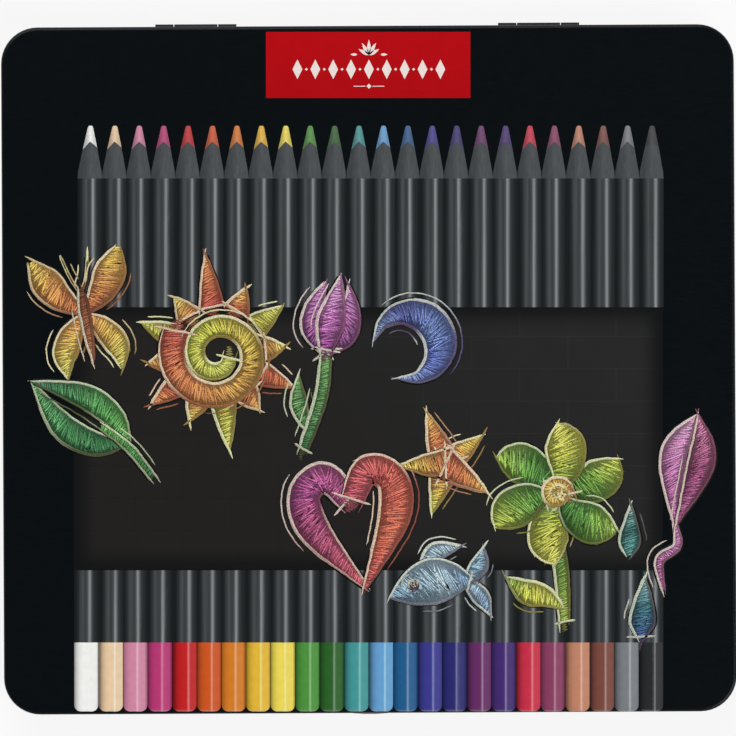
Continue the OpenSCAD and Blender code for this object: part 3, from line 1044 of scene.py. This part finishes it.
def laid_out():
    """Every band of the drawing, with each motif turned, scaled and set down in its place."""
    bands = []
    for motif, place, angle, scale in (
        (butterfly, (-78.0, 15.5), 10.0, 1.15),
        (leaf, (-75.0, -14.5), 60.0, 1.02),
        (sun, (-41.5, 4.0), 0.0, 1.0),
        (tulip, (-12.5, 1.5), -10.0, 1.06),
        (moon, (10.5, 6.5), 50.0, 0.95),
        (heart, (-4.0, -42.0), 10.0, 1.12),
        (star, (21.0, -26.0), 14.0, 0.88),
        (fish, (18.5, -57.0), -4.0, 1.08),
        (flower, (51.5, -34.0), -4.0, 1.0),
        (drops, (73.5, -55.0), 0.0, 0.92),
        (kite, (84.5, -36.0), -14.0, 1.04),
    ):
        for band in motif():
            band.path = placed(band.path, angle, scale, place)
            bands.append(band)
    return bands


def heading(start, end):
    """The direction from one point to another, as a step of length 1."""
    run, rise = end[0] - start[0], end[1] - start[1]
    length = math.hypot(run, rise) or 1.0
    return run / length, rise / length


def edge_points(band, side, out=0.0):
    """Points along one side of a band, with how much light each one's side catches."""
    path = band.path
    points = []
    for i, (x, y, half) in enumerate(path):
        run, rise = heading(path[max(i - 1, 0)], path[min(i + 1, len(path) - 1)])
        nx, ny = -rise * side, run * side
        reach = half + out
        lit = 0.5 + 0.5 * (LIT_FROM[0] * nx + LIT_FROM[1] * ny)
        points.append((x + nx * reach, y + ny * reach, lit, i / (len(path) - 1)))
    return points


def overshot(points, first, last):
    """The same line with both ends drawn on straight, as a quick hand does."""

    def beyond(end, inner, by):
        run, rise = heading(inner, end)
        return (end[0] + run * by, end[1] + rise * by, *end[2:])

    before = beyond(points[0], points[min(3, len(points) - 1)], first)
    return [before, *points, beyond(points[-1], points[max(len(points) - 4, 0)], last)]


def shortened(points, hand, cut, least=0):
    """The line without a random stretch at each end, of at most twice cut points."""
    start, end = hand.randint(least, 2 * cut), hand.randint(0, 2 * cut)
    return points[start : len(points) - end]


def line_ink(band, lit, share):
    """Cream chalk where the side faces the light, and a deep shade of the band elsewhere."""
    body = band.ink_at(min(max(share, 0.0), 1.0))
    cream = [0.6 * c + 0.4 * b for c, b in zip(ink(248, 247, 212), body)]
    deep = [0.4 * c + 0.35 * b for c, b in zip(ink(120, 66, 44), body)]
    pull = min(max((lit - 0.28) / 0.34, 0.0), 1.0)
    return [d + (c - d) * pull for c, d in zip(cream, deep)][:3] + [1.0]


def side_lines(band, side, hand):
    """The outline along one side, often drawn twice, and at times again further out."""
    edge = overshot(edge_points(band, side), hand.uniform(0.5, 3.0), hand.uniform(0.5, 3.0))
    lines = [(edge, LINE_HALF, LINE_LIFT)]
    if hand.random() < AGAIN_CHANCE:
        again = edge_points(band, side, hand.uniform(0.15, 0.4))
        again = shortened(again, hand, len(again) // 6)
        if len(again) > FEWEST_POINTS:
            lines.append((overshot(again, 1.0, 1.0), AGAIN_HALF, LINE_LIFT))
    if hand.random() < AWAY_CHANCE and len(band.path) > 12:
        away = edge_points(band, side, hand.uniform(1.6, 2.3))
        away = shortened(away, hand, len(away) // 5, len(away) // 5)
        if len(away) > FEWEST_POINTS:
            lines.append((away, AWAY_HALF, LINE_LIFT))
    return lines


def end_lines(band, end, inner, hand):
    """A stroke across one end of a band, and a zigzag that runs out of it."""
    x, y, half = band.path[end]
    if half < BLUNT_HALF:
        return []
    run, rise = heading(band.path[end], band.path[inner])
    skew = hand.uniform(-0.2, 0.2)
    nx, ny = -rise - run * skew, run - rise * skew
    low, high = half + hand.uniform(1.0, 3.2), half + hand.uniform(1.0, 3.2)
    lit, share = (0.9, 0.0) if end == 0 else (0.6, 1.0)
    spots = (-low, -low / 2, 0.0, high / 2, high)
    cap = [(x + nx * w, y + ny * w, lit, share) for w in spots]
    zigzag = []
    for step in range(hand.randint(7, 11)):
        w = half * (0.75 - 0.05 * step) * (-1) ** step + hand.uniform(-0.2, 0.2)
        out = 0.5 + 0.34 * step
        zigzag.append((x - run * out + nx * w, y - rise * out + ny * w, 0.1, share))
    return [(cap, LINE_HALF, LINE_LIFT), (zigzag, ZIGZAG_HALF, LINE_LIFT / 2)]


def outline_paths(bands):
    """The path of every outline stroke of the drawing."""
    hand = random.Random(CHALK_SEED)
    paths = []
    for band in bands:
        lines = side_lines(band, -1, hand) + side_lines(band, 1, hand)
        lines += end_lines(band, 0, 1, hand) + end_lines(band, -1, -2, hand)
        for points, pen, lift in lines:
            z = band.height() + lift
            path = [(x, y, z, pen, line_ink(band, lit, share), 0.0) for x, y, lit, share in points]
            paths.append(path)
    return paths


def band_paths(bands, lift=0.0, grow=0.0, flat=False):
    paths = []
    for band in bands:
        z = (TIN_H + ART_H if flat else band.height()) + lift
        last = len(band.path) - 1
        path = []
        for i, (x, y, half) in enumerate(band.path):
            path.append((x, y, z, half + grow, band.ink_at(i / last), band.lean))
        paths.append(path)
    return paths


def paths_mesh(paths):
    """A mesh of edges along (x, y, z, half width, ink, lean) paths, in print millimetres."""
    places, edges, widths, inks, leans = [], [], [], [], []
    for path in paths:
        first = len(places)
        for x, y, z, width, colour, lean in path:
            places.append((x * MM, y * MM, z * MM))
            widths.append(width * MM)
            inks += colour
            leans.append(math.radians(lean))
        edges += [(i, i + 1) for i in range(first, len(places) - 1)]
    mesh = bpy.data.meshes.new("chalk paths")
    mesh.from_pydata(places, edges, [])
    mesh.attributes.new("half_width", "FLOAT", "POINT").data.foreach_set("value", widths)
    mesh.attributes.new("lean", "FLOAT", "POINT").data.foreach_set("value", leans)
    mesh.attributes.new("ink", "FLOAT_COLOR", "POINT").data.foreach_set("color", inks)
    return mesh


def stored_number(graph, name):
    kind = "GeometryNodeInputNamedAttribute"
    return graph.value(kind, {"Name": name}, "Attribute", data_type="FLOAT")


def even_curve(graph, given, step):
    curve = graph.value("GeometryNodeMeshToCurve", {"Mesh": given["Geometry"]})
    inputs = {"Curve": curve, "Length": given[step]}
    return graph.value("GeometryNodeResampleCurve", inputs, mode="LENGTH")


def ribbon_tree():
    """A flat closed ribbon along every path, as wide as the path says."""
    names = ("Thickness", "Taper", "Wobble", "Step")
    graph, given = geometry_tree("chalk ribbons", **{name: "Float" for name in names})
    place = graph.value("GeometryNodeInputPosition")
    noise = {"Vector": place, "Scale": WOBBLE_CELLS, "Detail": 2.0}
    shake = graph.value("ShaderNodeTexNoise", noise, "Color")
    x, y, _ = graph.split(shake)
    wobble = graph.vector(X=(x - 0.5) * given["Wobble"], Y=(y - 0.5) * given["Wobble"])
    even = even_curve(graph, given, "Step")
    moved = graph.value("GeometryNodeSetPosition", {"Geometry": even, "Offset": wobble})
    upright = graph.value("GeometryNodeSetCurveNormal", {"Curve": moved}, mode="Z_UP")
    along = graph.value("GeometryNodeSplineParameter", None, "Factor")
    from_end = graph.math("MINIMUM", along, 1.0 - along)
    narrowed = graph.math("MINIMUM", 1.0, 1.0 - given["Taper"] + from_end * TAPER_RATE)
    size = {"Width": 2.0, "Height": given["Thickness"]}
    sweep = {
        "Curve": upright,
        "Profile Curve": graph.value("GeometryNodeCurvePrimitiveQuadrilateral", size),
        "Scale": stored_number(graph, "half_width") * narrowed,
        "Fill Caps": True,
    }
    return close_tree(graph, given, graph.value("GeometryNodeCurveToMesh", sweep))


def hatching_tree():
    """Short strokes across every band, at its lean, no two quite alike."""
    names = ("Spacing", "Pen", "Thickness", "Darkest", "Lightest")
    graph, given = geometry_tree("hatching", **{name: "Float" for name in names}, Seed="Int")

    def chance(number, low, high):
        """A random number for each stroke, the draw with this number."""
        inputs = {"Min": low, "Max": high, "Seed": given["Seed"] + float(number)}
        return graph.value("FunctionNodeRandomValue", inputs, "Value", data_type="FLOAT")

    run, rise, _ = graph.split(graph.value("GeometryNodeInputTangent"))
    across = graph.math("ARCTAN2", rise, run) + math.pi / 2
    turn = across + (stored_number(graph, "lean") + chance(0, -0.16, 0.16))
    half = stored_number(graph, "half_width") * chance(1, 0.78, 1.08)
    pen = given["Pen"] * chance(2, 0.6, 1.3)
    form = {"Vertices": 6, "Radius": 1.0, "Depth": 1.0}
    stroke = graph.value("GeometryNodeMeshCylinder", form, "Mesh")
    along = graph.split(graph.value("GeometryNodeInputPosition"))[0]
    stray = SCATTER * MM
    shift = graph.vector(X=chance(3, -stray, stray), Y=chance(4, -stray, stray))
    spots = {"Geometry": even_curve(graph, given, "Spacing"), "Offset": shift}
    laying = {
        "Points": graph.value("GeometryNodeSetPosition", spots),
        "Instance": stored(graph, stroke, "tip", abs(along), "POINT"),
        "Rotation": graph.vector(Z=turn),
        "Scale": graph.vector(X=half, Y=pen, Z=given["Thickness"]),
    }
    strokes = graph.value("GeometryNodeInstanceOnPoints", laying)
    shade = chance(5, given["Darkest"], given["Lightest"])
    return close_tree(graph, given, stored(graph, strokes, "shade", shade, "INSTANCE"))


def chalk_ink(name, low, high, shaded=False):
    """Chalk in the colour of its stroke, broken up by the tooth of the paper."""
    finish = print_finish(name, 0.6)
    tooth = finish.noise(finish.place(), 3.2, 3.0, 0.65)
    level = finish.fade(tooth, 0.3, 0.7, low, high)
    if shaded:
        tip = finish.fade(finish.attribute("tip"), 0.5, 1.0, 1.15, 0.42)
        level = level * finish.attribute("shade") * tip
    rubbed = finish.times(finish.attribute("ink", "Color"), level, clamp_result=True)
    dusty = {"Saturation": 0.88, "Color": rubbed}
    return finish.painted(finish.value("ShaderNodeHueSaturation", dusty))


def shadow_ink():
    finish = print_finish("print shadow", 0.5)
    return finish.painted(finish.mix(finish.noise(finish.place(), 0.5), ink(5, 8, 10), ink(12, 14, 15)))


def chalk_piece(name, paths, tree, values):
    shape = bmesh.new()
    shape.from_mesh(grown(paths_mesh(paths), tree, values))
    mesh = mesh_from(name, shape)
    mesh.materials.append(values["Ink"])
    return settled(new_piece(name, mesh))


def chalk_drawing():
    """The motifs in hatched bands, over a dark ground and under sketched outlines."""
    bands = laid_out()
    ribbon, hatching = ribbon_tree(), hatching_tree()
    flat = {"Wobble": 0.0, "Step": PATH_STEP * MM, "Taper": 0.0}
    dark = band_paths(bands, -SHADOW_DROP, SHADOW_GROW, flat=True)
    dark += band_paths(bands, -GAP_DROP, GAP_GROW)
    chalk_piece("chalk_shadow", dark, ribbon, {"Thickness": SHADOW_T, "Ink": shadow_ink(), **flat})
    ground = {"Thickness": GROUND_T, "Ink": chalk_ink("chalk ground", 0.18, 0.468), **flat}
    chalk_piece("chalk_ground", band_paths(bands), ribbon, ground)
    strokes = chalk_ink("chalk strokes", 0.42, 1.36, shaded=True)
    for name, lift, spacing, pen, darkest, lightest, seed in (
        ("chalk_deep_strokes", STROKE_LIFT / 2, 0.5, 0.17, 0.35, 0.95, CHALK_SEED),
        ("chalk_bright_strokes", STROKE_LIFT, 0.6, 0.14, 0.9, 1.9, CHALK_SEED + 50),
    ):
        values = {
            "Spacing": spacing * MM,
            "Pen": pen * MM,
            "Thickness": STROKE_T * MM,
            "Darkest": darkest,
            "Lightest": lightest,
            "Seed": seed,
            "Ink": strokes,
        }
        chalk_piece(name, band_paths(bands, lift), hatching, values)
    line = {"Thickness": LINE_T, "Taper": 0.8, "Wobble": 0.5 * MM, "Step": 0.5 * MM}
    line["Ink"] = chalk_ink("chalk outlines", 0.55, 1.16)
    chalk_piece("chalk_outlines", outline_paths(bands), ribbon, line)


# ---- Studio ----

FLOOR_R = 8.0
FLOOR_WHITE = 0.86  # how much of what the camera sees of the floor is plain white


def add_camera():
    lens = bpy.data.cameras.new("camera")
    lens.sensor_width = SENSOR
    lens.lens = SENSOR * CAMERA_RISE / (IMAGE_PX * PX * MM)
    lens.clip_start, lens.clip_end = 0.1, 50.0
    camera = new_piece("camera", lens)
    camera.location = (AIM[0] * MM, AIM[1] * MM, TIN_H * MM + CAMERA_RISE)
    camera.rotation_euler = (0.0, 0.0, PRINT_TURN)
    bpy.context.scene.camera = camera


def add_lamp(name, place, size, power):
    lamp = bpy.data.lights.new(name, "AREA")
    lamp.shape = "DISK"
    lamp.size = size
    lamp.energy = power
    holder = new_piece(name, lamp)
    holder.location = place
    holder.rotation_euler = (-Vector(place)).to_track_quat("-Z", "Y").to_euler()
    holder.visible_camera = False


def add_world():
    """A soft room: dim overhead and brighter towards the horizon."""
    world = bpy.data.worlds.new("soft room")
    world.use_nodes = True
    bpy.context.scene.world = world
    graph = Graph(world.node_tree)
    up = graph.split(graph.value("ShaderNodeTexCoord", None, "Generated"))[2]
    tone = graph.greys(up, [(0.0, 0.5), (0.95, 0.07)])
    graph.feed(world.node_tree.nodes["Background"].inputs["Color"], tone)


def add_floor():
    """A wide pale floor, white to the camera, that keeps a faint shadow."""
    shape = bmesh.new()
    bmesh.ops.create_circle(shape, cap_ends=True, segments=64, radius=FLOOR_R)
    mesh = bpy.data.meshes.new("floor")
    shape.to_mesh(mesh)
    shape.free()
    floor = new_piece("floor", mesh)
    paint = Finish("pale floor", Base_Color=grey(0.82), Roughness=0.8, Specular_IOR_Level=0.1)
    rays = ("Is Camera Ray", "Is Glossy Ray", "Is Transmission Ray")
    camera, glossy, clear = [paint.value("ShaderNodeLightPath", None, ray) for ray in rays]
    seen = paint.math("MAXIMUM", paint.math("MAXIMUM", camera, glossy), clear)
    glow = paint.add("ShaderNodeEmission", {"Color": grey(1.0), "Strength": 1.0})
    mixer = paint.add("ShaderNodeMixShader", {"Fac": seen * FLOOR_WHITE})
    end = paint.tree.nodes["Material Output"].inputs["Surface"]
    for source, target in ((paint.shader, mixer.inputs[1]), (glow, mixer.inputs[2]), (mixer, end)):
        paint.tree.links.new(source.outputs[0], target)
    mesh.materials.append(paint.material)


# ---- Putting it together ----


def dress(node, finish):
    """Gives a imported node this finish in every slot."""
    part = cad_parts[node]
    if not part.data.materials:
        part.data.materials.append(finish)
    for slot in part.material_slots:
        slot.link = "OBJECT"
        slot.material = finish


bpy.context.scene.view_settings.view_transform = "Standard"
add_camera()
add_world()
add_floor()
add_lamp("window lamp", (-0.6, 1.65, 1.25), 2.2, 36.5)
add_lamp("fill lamp", (1.3, -1.0, 1.4), 1.8, 29.5)

dress("lid", pressed_sheet("lacquered lid", bare_in_lid))
dress("base", pressed_sheet("lacquered base", bare_in_base))
dress("tray", tray_finish())
dress("dipped_ends", dip_finish())
wire = wire_finish()
dress("hinge_pin_left", wire)
dress("hinge_pin_right", wire)
barrel, lead = barrel_finish(), lead_finish()
for number in range(1, PENCIL_COUNT + 1):
    dress(f"pencil_barrel_{number:02d}", barrel)
    dress(f"pencil_lead_{number:02d}", lead)

print_ground()
chalk_drawing()
